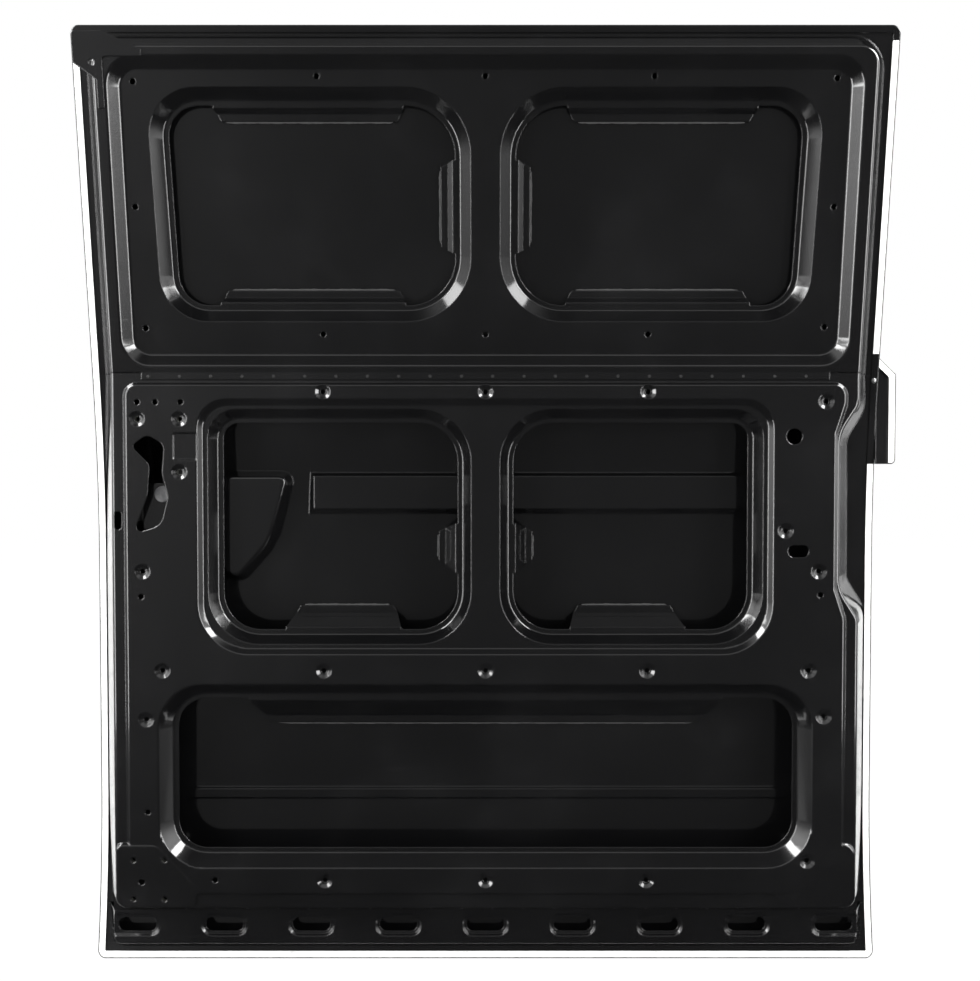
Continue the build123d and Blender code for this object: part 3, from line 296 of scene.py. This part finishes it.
def black_coat(finish):
    """Black dip coat: deep gloss, soft haze, orange peel, dust nibs and a few rubbed marks."""
    material, bare = new_finish("black_coat")
    coords = object_coordinates(bare)
    haze = coords.noise(2.6, 5.0, 0.6).step(0.35, 0.75)
    cloud = coords.noise(11.0, 4.0, 0.55).step(0.4, 0.8)
    dust = coords.noise(900.0, 1.0).step(0.70, 0.78)
    rub = stretched(bare, (6.0, 30.0, 140.0)).noise(1.0, 3.0, 0.7, 0.6).step(0.66, 0.76)
    rub = rub * coords.noise(4.0, 2.0).step(0.52, 0.66)
    run = stretched(bare, (75.0, 75.0, 2.2)).noise(1.0, 2.0).step(0.55, 0.85)
    dull = (haze * 0.5 + cloud * 0.3 + rub * 0.6 + dust * 0.35).step(0.0, 1.6)
    colour = dull.between(opaque(finish.coat_colour), opaque(finish.haze_colour))
    rough = haze * 0.04 + cloud * 0.03 + dust * 0.1 + rub * 0.14 + finish.coat_roughness
    bend = {"Radius": finish.bend_radius * MILLIMETRE}
    edge = bare.node("ShaderNodeBevel", {"samples": BEVEL_SAMPLES}, bend)
    peel = edge.bump(coords.noise(330.0, 2.0, 0.5), 4.0e-6)
    runs = peel.bump(run, 1.2e-5)
    waves = runs.bump(coords.noise(7.0, 1.0, 0.4), finish.sheet_wave * MILLIMETRE)
    return close_finish(material, bare, {
        "Base Color": colour,
        "Roughness": rough,
        "Normal": waves,
        "IOR": finish.coat_ior,
        "Coat Weight": 0.25,
        "Coat Roughness": 0.06,
    })


def hem_sealer(finish):
    """White seam sealer: matt, brushed along, slightly soiled. Its near-white is partly the sealer's own
    colour and partly a painted reflection of the light along the hem edges.
    """
    material, bare = new_finish("hem_sealer")
    coords = object_coordinates(bare)
    soil = coords.noise(38.0, 4.0, 0.6).step(0.5, 0.85)
    grain = coords.noise(700.0, 3.0, 0.6)
    brush = stretched(bare, (500.0, 500.0, 22.0)).noise(1.0, 2.0)
    # Sealer white, which also serves as a painted reflection on the hem edges; soil greys it at random.
    colour = soil.between(opaque(finish.sealer_and_painted_sheen_colour), grey(0.52))
    skin = bare.bump(grain, 5.0e-5)
    strokes = skin.bump(brush, 1.5e-4)
    return close_finish(material, bare, {
        "Base Color": colour,
        "Roughness": soil * 0.15 + 0.5,
        "Normal": strokes,
    })


def mastic(finish):
    """Dark expanding mastic with a pitted skin."""
    material, bare = new_finish("mastic")
    coords = object_coordinates(bare)
    pits = coords.noise(420.0, 3.0, 0.65)
    patch = coords.noise(30.0, 3.0).step(0.4, 0.7)
    colour = patch.between(opaque(finish.mastic_colour), grey(0.05))
    skin = bare.bump(pits, 6.0e-4)
    return close_finish(material, bare, {
        "Base Color": colour,
        "Roughness": pits * 0.2 + 0.65,
        "Normal": skin,
    })


def zinc(finish):
    """Bright zinc on the weld nuts, spangled and dulled in patches."""
    material, bare = new_finish("zinc_nuts")
    coords = object_coordinates(bare)
    spangle = coords.node("ShaderNodeTexVoronoi", {}, {"Vector": coords, "Scale": 800.0})
    patch = coords.noise(160.0, 3.0).step(0.35, 0.7)
    colour = patch.between((0.62, 0.61, 0.57, 1.0), (0.36, 0.36, 0.34, 1.0))
    skin = bare.bump(spangle, 4.0e-5)
    return close_finish(material, bare, {
        "Base Color": colour,
        "Roughness": patch * 0.2 + 0.3,
        "Metallic": 0.95,
        "Normal": skin,
    })


def plated(finish):
    """Grey phosphated plate of the latch disc."""
    material, bare = new_finish("bare_plate")
    coords = object_coordinates(bare)
    patch = coords.noise(60.0, 4.0, 0.6).step(0.35, 0.75)
    grain = coords.noise(1100.0, 2.0)
    colour = patch.between((0.075, 0.075, 0.078, 1.0), (0.16, 0.16, 0.16, 1.0))
    skin = bare.bump(grain, 2.0e-5)
    return close_finish(material, bare, {
        "Base Color": colour,
        "Roughness": patch * 0.15 + 0.34,
        "Metallic": 0.6,
        "Normal": skin,
    })


def smooth_mesh(name, points, faces):
    """Smooth-shaded mesh of a grid of points, with each face given as a list of point numbers."""
    mesh = bpy.data.meshes.new(name)
    mesh.from_pydata(points.reshape(-1, 3).tolist(), [], faces)
    mesh.polygons.foreach_set("use_smooth", np.ones(len(mesh.polygons), bool))
    mesh.update()
    return mesh


def tube_mesh(name, points):
    """Tube of a grid of points, rows along and columns round: quads between neighbours, capped ends."""
    rows, columns = points.shape[:2]
    index = np.arange(rows * columns).reshape(rows, columns)
    after = np.roll(index, -1, axis=1)
    quads = np.stack([index[:-1], after[:-1], after[1:], index[1:]], axis=-1).reshape(-1, 4)
    caps = [index[0, ::-1].tolist(), index[-1].tolist()]
    return smooth_mesh(name, points, quads.tolist() + caps)


def add_piece(name, mesh, slot):
    """A new piece at the origin, riding on the door, with the finish of its slot's name."""
    piece = bpy.data.objects.new(name, mesh)
    bpy.context.scene.collection.objects.link(piece)
    mesh.materials.append(bpy.data.materials[slot])
    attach(piece, BODY)


def landings(nodes, places):
    """Where a line along +Y from inside the van first meets the named CAD nodes.

    Gives the points and the surface's normals there, turned to face inside.
    """
    corners = []
    faces = []
    for node in nodes:
        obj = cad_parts[node]
        first = len(corners)
        corners += [obj.matrix_world @ vertex.co for vertex in obj.data.vertices]
        faces += [[first + i for i in polygon.vertices] for polygon in obj.data.polygons]
    tree = BVHTree.FromPolygons(corners, faces)
    outward = Vector((0.0, 1.0, 0.0))
    hits = [tree.ray_cast(Vector((x, INSIDE, z)), outward) for x, z in places]
    points = np.array([hit[0] for hit in hits if hit[0] is not None])
    normals = np.array([hit[1] for hit in hits if hit[0] is not None])
    return points, normals * -np.sign(normals[:, 1:2])


def spots_mesh(name, points, normals, radii, heights):
    """Round spots on a surface: rings of the given radii, each lifted along the normal by its height."""
    angle = np.linspace(0.0, 2.0 * math.pi, SPOT_STEPS, endpoint=False)
    first = np.cross(normals, [0.0, 0.0, 1.0])
    first = first / np.linalg.norm(first, axis=1, keepdims=True)
    second = np.cross(normals, first)
    cosine = np.cos(angle)[None, :, None]
    sine = np.sin(angle)[None, :, None]
    turn = cosine * first[:, None, :] + sine * second[:, None, :]
    flat = points[:, None, None, :] + radii[None, :, None, None] * turn[:, None, :, :]
    grid = flat + heights[None, :, None, None] * normals[:, None, None, :]
    count, rings, steps = grid.shape[:3]
    index = np.arange(count * rings * steps).reshape(count, rings, steps)
    after = np.roll(index, -1, axis=2)
    quads = np.stack([index[:, :-1], after[:, :-1], after[:, 1:], index[:, 1:]], axis=-1).reshape(-1, 4)
    return smooth_mesh(name, grid, quads.tolist() + index[:, 0, ::-1].tolist())


def bead_points(start, end, radius, seed):
    """Bead from start to end: a circle carried along the line, its radius swollen by three slow waves."""
    along = np.linspace(0.0, 1.0, BEAD_POINTS)
    length = np.linalg.norm(end - start)
    phase = np.random.default_rng(seed).uniform(0.0, 2.0 * math.pi, len(BEAD_WAVES))
    turns = 2.0 * math.pi * along * length
    waves = sum(np.sin(turns / pitch + lag) for pitch, lag in zip(BEAD_WAVES, phase))
    ends = np.sqrt(np.clip(1.0 - (2.0 * along - 1.0) ** BEAD_END_POWER, BEAD_END_LEAST, 1.0))
    swell = radius * (1.0 + BEAD_SWELL * waves) * ends
    way = (end - start) / length
    out = np.cross(way, [0.0, 1.0, 0.0])
    angle = np.linspace(0.0, 2.0 * math.pi, BEAD_SIDES, endpoint=False)
    ring = np.cos(angle)[:, None] * out + np.sin(angle)[:, None] * np.array([0.0, 1.0, 0.0])
    middle = start + along[:, None] * (end - start)
    return middle[:, None, :] + swell[:, None, None] * ring[None, :, :]


def leaning(across, depth, rise):
    """Row-frame point of the leaning half: across the door, depth behind the ridge, rise up from the belt."""
    y = RIDGE + depth * math.cos(LEAN) - rise * math.sin(LEAN)
    z = BELT_HEIGHT + depth * math.sin(LEAN) + rise * math.cos(LEAN)
    return DATUM + np.array([across, y, z])


def run_about(middle, half):
    """Start and end of a straight run, from its middle and half of it as a vector."""
    return middle - np.array(half), middle + np.array(half)


def squeeze_runs():
    """Start and end of every bead of mastic pressed out along the foot of a glue flange."""
    lower = DATUM + np.array([0.0, BED_DEPTH, LOWER_FOOT_HEIGHT])
    runs = [run_about(lower, (LOWER_RUN_HALF, 0.0, 0.0))]
    for side in (-1.0, 1.0):
        foot = DATUM + np.array([MIDDLE_FOOT_ACROSS * side, BED_DEPTH, MIDDLE_FOOT_HEIGHT])
        runs.append(run_about(foot, (MIDDLE_RUN_HALF, 0.0, 0.0)))
        post = DATUM + np.array([MIDDLE_POST_ACROSS * side, BED_DEPTH, MIDDLE_POST_HEIGHT])
        runs.append(run_about(post, (0.0, 0.0, MIDDLE_POST_RUN_HALF)))
        for rise in UPPER_FOOT_RISES:
            foot = leaning(UPPER_FOOT_ACROSS * side, UPPER_BED_DEPTH, rise)
            runs.append(run_about(foot, (UPPER_RUN_HALF, 0.0, 0.0)))
        low, high = (leaning(UPPER_POST_ACROSS * side, UPPER_BED_DEPTH, rise) for rise in UPPER_POST_RISES)
        runs.append((low, high))
    return runs


def dress(node, material):
    """Finish and smooth shading for a CAD node: joined doubles, sharp edges kept, even normals."""
    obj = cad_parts[node]
    obj.data.materials.clear()
    obj.data.materials.append(material)
    weld = obj.modifiers.new("join", "WELD")
    weld.merge_threshold = JOIN_DISTANCE
    split = obj.modifiers.new("edges", "EDGE_SPLIT")
    split.split_angle = SHARP_ANGLE
    normals = obj.modifiers.new("normals", "WEIGHTED_NORMAL")
    normals.keep_sharp = True


def set_camera(scene, stage):
    """Camera square to the door, tilted down, with the shift that the picture's frame needs."""
    camera = bpy.data.cameras.new("camera")
    camera.sensor_fit = "HORIZONTAL"
    camera.sensor_width = SENSOR
    camera.lens = stage.focal_pixels * SENSOR / PICTURE_WIDTH
    camera.shift_x = stage.centre_shift / PICTURE_WIDTH
    camera.clip_end = CAMERA_REACH
    eye = bpy.data.objects.new("camera", camera)
    eye.location = stage.camera_place
    eye.rotation_euler = (math.pi / 2 - stage.camera_tilt, 0.0, 0.0)
    scene.collection.objects.link(eye)
    scene.camera = eye
    scene.view_settings.view_transform = "Standard"


def lay_floor(scene):
    """Flat floor just under the door: matt to the light, glowing nearly white to the camera."""
    level = np.full(len(FLOOR_CORNERS), CAD_BOX[0][2] - FLOOR_GAP)
    corners = np.column_stack([FLOOR_CORNERS, level])
    mesh = bpy.data.meshes.new("floor")
    mesh.from_pydata(corners.tolist(), [], [(0, 1, 2, 3)])
    floor = bpy.data.objects.new("floor", mesh)
    scene.collection.objects.link(floor)
    paint, bare = new_finish("floor_paint")
    seen = bare.node("ShaderNodeLightPath", out="Is Camera Ray")
    matt = bare.node("ShaderNodeBsdfDiffuse", {}, {"Color": grey(FLOOR_GREY)})
    glow = bare.node("ShaderNodeEmission", {}, {"Color": grey(1.0), "Strength": FLOOR_GLOW})
    both = bare.node("ShaderNodeMixShader", {}, {0: seen * FLOOR_GLOW_SHARE, 1: matt, 2: glow})
    bare.node("ShaderNodeOutputMaterial", {}, {"Surface": both})
    mesh.materials.append(paint)
    floor.visible_glossy = False


def soft_box(scene, name, place, aim, size, power):
    """A rectangular soft box at a place, turned to the point it lights."""
    light = bpy.data.lights.new(name, "AREA")
    light.shape = "RECTANGLE"
    light.size, light.size_y = size
    light.energy = power
    box = bpy.data.objects.new(name, light)
    box.location = place
    box.rotation_euler = (Vector(aim) - Vector(place)).to_track_quat("-Z", "Y").to_euler()
    scene.collection.objects.link(box)
    return box


def hang_lights(scene, stage):
    """A top box and a tall strip on each side, and a fill that shows in no reflection."""
    middle = DATUM + np.array([0.0, -DATUM[1], DOOR_HEIGHT / 2])
    for side in (-1.0, 1.0):
        top = (DATUM[0] + side * TOP_BOX_OUT, *TOP_BOX_PLACE)
        soft_box(scene, "top_box", top, middle, TOP_BOX_SIZE, stage.top_power)
        strip = (DATUM[0] + side * STRIP_OUT, *STRIP_PLACE)
        soft_box(scene, "side_strip", strip, middle, STRIP_SIZE, stage.strip_power)
    fill = soft_box(scene, "fill", (DATUM[0], *FILL_PLACE), middle, FILL_SIZE, stage.fill_power)
    fill.visible_glossy = False


def light_walls(scene, stage):
    """Studio walls in the world: brightness by direction, and plain white where the camera sees them."""
    world = bpy.data.worlds.new("studio")
    scene.world = world
    world.use_nodes = True
    world.node_tree.nodes.clear()
    bare = Field(world.node_tree)
    way = bare.node("ShaderNodeTexCoord", out="Generated")
    split = bare.node("ShaderNodeSeparateXYZ", {}, {0: way})
    across, along, up = (Field(world.node_tree, socket) for socket in split.socket.node.outputs)
    to_room = 0.0 - along
    front = to_room.step(*FRONT_BAND)
    zenith = up.step(*ZENITH_BAND)
    above = up.step(*HORIZON_BAND)
    rise = bare.math("MAXIMUM", up * SIDE_RISE + 1.0, SIDE_LEAST)
    sides = (across * across).step(*SIDE_BAND) * rise * stage.side_glow
    left = bare.math("MAXIMUM", 0.0 - across, 0.0)
    ceiling = up.step(*CEILING_BAND) * (1.0 - zenith) * to_room.step(*CEILING_FRONT_BAND)
    level = sides * (1.0 - front * SIDE_LOSS_IN_FRONT) + left * left * front * LEFT_GLOW
    level = level + ceiling * CEILING_GLOW
    level = level + along.step(*BACK_BAND) * stage.back_glow + stage.front_glow
    level = level * (1.0 - zenith * ZENITH_LOSS) * above + LEAST_GLOW
    level = level + along.step(*LOW_BACK_BAND) * (1.0 - above) * LOW_BACK_GLOW
    seen = bare.node("ShaderNodeLightPath", out="Is Camera Ray")
    level = seen + (1.0 - seen) * level
    glow = bare.node("ShaderNodeBackground", {}, {"Color": grey(1.0), "Strength": level})
    bare.node("ShaderNodeOutputWorld", {}, {"Surface": glow})


class DoorFinish(bpy.types.PropertyGroup):
    """Colours and surface of the finishes"""

    coat_colour: bpy.props.FloatVectorProperty(
        name="Coat", description="Colour of the clean dip coat", subtype="COLOR",
        default=(0.0030, 0.0030, 0.0032))
    haze_colour: bpy.props.FloatVectorProperty(
        name="Haze", description="Colour of the hazed and rubbed coat", subtype="COLOR",
        default=(0.010, 0.010, 0.0104))
    coat_roughness: bpy.props.FloatProperty(
        name="Coat roughness", description="Roughness of the clean coat", default=0.09, min=0.0, max=1.0)
    coat_ior: bpy.props.FloatProperty(
        name="Coat index", description="Refractive index of the coat", default=1.6, min=1.0, max=2.5)
    sheet_wave: bpy.props.FloatProperty(
        name="Sheet wave", description="Height of the slow waves in the pressed sheet, in millimetres",
        default=0.12)
    bend_radius: bpy.props.FloatProperty(
        name="Bend radius", description="Roundness of the pressed bends, in millimetres",
        default=3.0, min=0.0)
    # The sealer colour also carries the painted reflection of the hem edges, so it is near white.
    sealer_and_painted_sheen_colour: bpy.props.FloatVectorProperty(
        name="Sealer", description="Colour of the hem sealer", subtype="COLOR", default=(0.86, 0.86, 0.85))
    mastic_colour: bpy.props.FloatVectorProperty(
        name="Mastic", description="Colour of the mastic", subtype="COLOR", default=(0.02, 0.02, 0.021))


class DoorDetail(bpy.types.PropertyGroup):
    """Sizes of the small surface details"""

    weld_pitch: bpy.props.FloatProperty(
        name="Weld pitch", description="Distance between spot welds", default=0.052, unit="LENGTH")
    weld_radius: bpy.props.FloatProperty(
        name="Weld radius", description="Radius of a spot weld's mark", default=0.0028, unit="LENGTH")
    weld_rise: bpy.props.FloatProperty(
        name="Weld rise", description="Height of the collar round a weld mark",
        default=0.00008, unit="LENGTH")
    bead_radius: bpy.props.FloatProperty(
        name="Bead radius", description="Radius of the mastic pressed out at a flange",
        default=0.0022, unit="LENGTH")
    rivet_radius: bpy.props.FloatProperty(
        name="Rivet radius", description="Radius of the rivet at the rail cover",
        default=0.0045, unit="LENGTH")


class DoorStage(bpy.types.PropertyGroup):
    """Camera and light of the studio"""

    camera_place: bpy.props.FloatVectorProperty(
        name="Camera", description="Place of the camera", subtype="TRANSLATION", unit="LENGTH",
        default=(0.565, -1.9006, 0.7098))
    camera_tilt: bpy.props.FloatProperty(
        name="Camera tilt", description="How far the camera looks down", subtype="ANGLE",
        default=math.radians(1.7))
    focal_pixels: bpy.props.FloatProperty(
        name="Focal length", description="Focal length in pixels of the picture", default=1145.0)
    centre_shift: bpy.props.FloatProperty(
        name="Centre shift", description="Door centre left of the picture's centre, in pixels", default=4.5)
    top_power: bpy.props.FloatProperty(
        name="Top boxes", description="Power of each soft box above", default=95.0, unit="POWER")
    side_glow: bpy.props.FloatProperty(
        name="Side glow", description="Brightness of the walls beside the set", default=1.5)
    back_glow: bpy.props.FloatProperty(
        name="Back glow", description="Brightness of the wall behind the door", default=1.2)
    strip_power: bpy.props.FloatProperty(
        name="Side strips", description="Power of each tall soft box beside the camera",
        default=52.0, unit="POWER")
    fill_power: bpy.props.FloatProperty(
        name="Fill", description="Power of the soft fill that shows in no reflection",
        default=12.0, unit="POWER")
    front_glow: bpy.props.FloatProperty(
        name="Front glow", description="Brightness of the room behind the camera", default=0.072)


class DOOR_OT_finishes(bpy.types.Operator):
    """Gives every CAD node its finish and smooth shading"""

    bl_idname = "door.finishes"
    bl_label = "Finishes"

    def execute(self, context):
        finish = context.scene.door_finish
        groups = (
            (COATED, black_coat),
            (SEALED, hem_sealer),
            (MASTIC, mastic),
            (ZINC, zinc),
            (PLATED, plated),
        )
        for nodes, make in groups:
            material = make(finish)
            for node in nodes:
                dress(node, material)
        return {"FINISHED"}


class DOOR_OT_welds(bpy.types.Operator):
    """Makes the spot weld marks along the belt lap and the sill lap"""

    bl_idname = "door.welds"
    bl_label = "Weld marks"

    def execute(self, context):
        detail = context.scene.door_detail
        reach = HALF_WIDTH - WELD_END_INSET
        across = DATUM[0] + np.arange(-reach, reach, detail.weld_pitch)
        places = [(x, DATUM[2] + BELT_HEIGHT - BELT_WELD_DROP) for x in across]
        places += [(x, DATUM[2] + SILL_WELD_HEIGHT) for x in across]
        points, normals = landings(("lower_inner_panel", "upper_inner_panel", "sill_channel"), places)
        collar = np.exp(-(((WELD_SHARES - COLLAR_PLACE) / COLLAR_SPREAD) ** 2)) * detail.weld_rise
        heights = collar + WELD_LIFT - WELD_SKIRT * (WELD_SHARES >= 1.0)
        mesh = spots_mesh("weld_marks", points, normals, WELD_SHARES * detail.weld_radius, heights)
        add_piece("weld_marks", mesh, "black_coat")
        return {"FINISHED"}


class DOOR_OT_beads(bpy.types.Operator):
    """Makes the beads of mastic pressed out along the glue flanges"""

    bl_idname = "door.beads"
    bl_label = "Mastic beads"

    def execute(self, context):
        detail = context.scene.door_detail
        for number, (start, end) in enumerate(squeeze_runs()):
            name = f"mastic_bead_{number + 1}"
            points = bead_points(start, end, detail.bead_radius, number)
            add_piece(name, tube_mesh(name, points), "mastic")
        return {"FINISHED"}


class DOOR_OT_rivet(bpy.types.Operator):
    """Makes the bright rivet in the hem at the foot of the rail cover"""

    bl_idname = "door.rivet"
    bl_label = "Cover rivet"

    def execute(self, context):
        detail = context.scene.door_detail
        places = [(DATUM[0] + HALF_WIDTH - RIVET_EDGE_INSET, DATUM[2] + RIVET_HEIGHT)]
        points, normals = landings(("outer_skin",), places)
        dome = np.sqrt(1.0 - RIVET_ROUNDNESS * RIVET_SHARES**2) * RIVET_DOME
        heights = dome - RIVET_SKIRT * (RIVET_SHARES >= 1.0)
        mesh = spots_mesh("cover_rivet", points, normals, RIVET_SHARES * detail.rivet_radius, heights)
        add_piece("cover_rivet", mesh, "zinc_nuts")
        return {"FINISHED"}


class DOOR_OT_stage(bpy.types.Operator):
    """Builds the camera, floor, soft boxes and studio walls"""

    bl_idname = "door.stage"
    bl_label = "Stage"

    def execute(self, context):
        scene = context.scene
        stage = scene.door_stage
        set_camera(scene, stage)
        lay_floor(scene)
        hang_lights(scene, stage)
        light_walls(scene, stage)
        return {"FINISHED"}


class DOOR_PT_panel(bpy.types.Panel):
    """Lists the steps in the sidebar"""

    bl_idname = "DOOR_PT_panel"
    bl_label = "Van sliding door"
    bl_space_type = "VIEW_3D"
    bl_region_type = "UI"
    bl_category = "Door"

    def draw(self, context):
        for step in STEPS:
            self.layout.operator(step.bl_idname)


STEPS = (DOOR_OT_finishes, DOOR_OT_welds, DOOR_OT_beads, DOOR_OT_rivet, DOOR_OT_stage)
CLASSES = (DoorFinish, DoorDetail, DoorStage) + STEPS + (DOOR_PT_panel,)


def register():
    for made in CLASSES:
        bpy.utils.register_class(made)
    bpy.types.Scene.door_finish = bpy.props.PointerProperty(type=DoorFinish)
    bpy.types.Scene.door_detail = bpy.props.PointerProperty(type=DoorDetail)
    bpy.types.Scene.door_stage = bpy.props.PointerProperty(type=DoorStage)


def unregister():
    del bpy.types.Scene.door_stage
    del bpy.types.Scene.door_detail
    del bpy.types.Scene.door_finish
    for made in reversed(CLASSES):
        bpy.utils.unregister_class(made)


def main():
    register()
    bpy.ops.door.finishes()
    bpy.ops.door.welds()
    bpy.ops.door.beads()
    bpy.ops.door.rivet()
    bpy.ops.door.stage()


if __name__ == "__main__":
    main()
